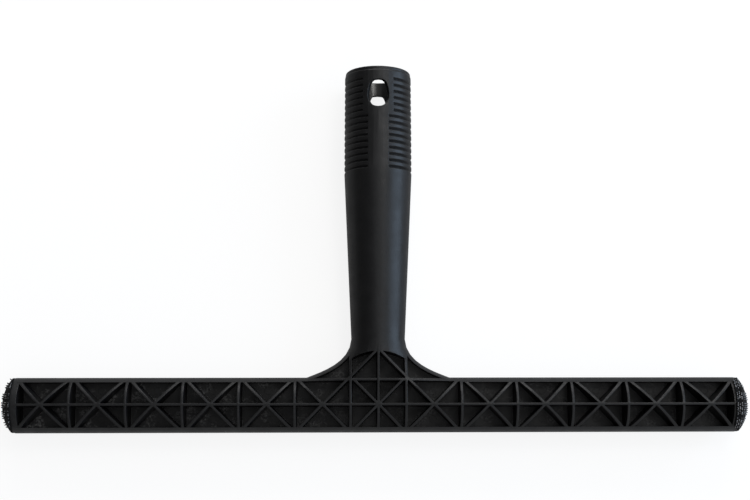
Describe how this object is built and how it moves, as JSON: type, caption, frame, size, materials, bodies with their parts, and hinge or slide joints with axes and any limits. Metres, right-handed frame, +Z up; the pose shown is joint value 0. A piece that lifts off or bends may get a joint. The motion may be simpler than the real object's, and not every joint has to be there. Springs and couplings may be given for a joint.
{
  "type": "window washer t-bar",
  "caption": "T-shaped holder for a window-washing sleeve: a round, rib-latticed bar with grip pads on its ends and a hollow tapered handle that plugs onto a pole.",
  "frame": {"origin": "under the middle of the part's bounding box, on the surface that the part lies on", "axes": "+X along the bar, +Y along the handle toward its open mouth, +Z up, away from the surface that the part lies on"},
  "size_m": [0.35, 0.1728, 0.0334],
  "materials": {
    "black_plastic": "injection-moulded, fine satin grain",
    "hook_tape": "rough nylon hooks with small glints"
  },
  "bodies": {
    "root": {"t_bar": "black_plastic", "hook_pad_left": "hook_tape", "hook_pad_right": "hook_tape"}
  },
  "joints": []
}
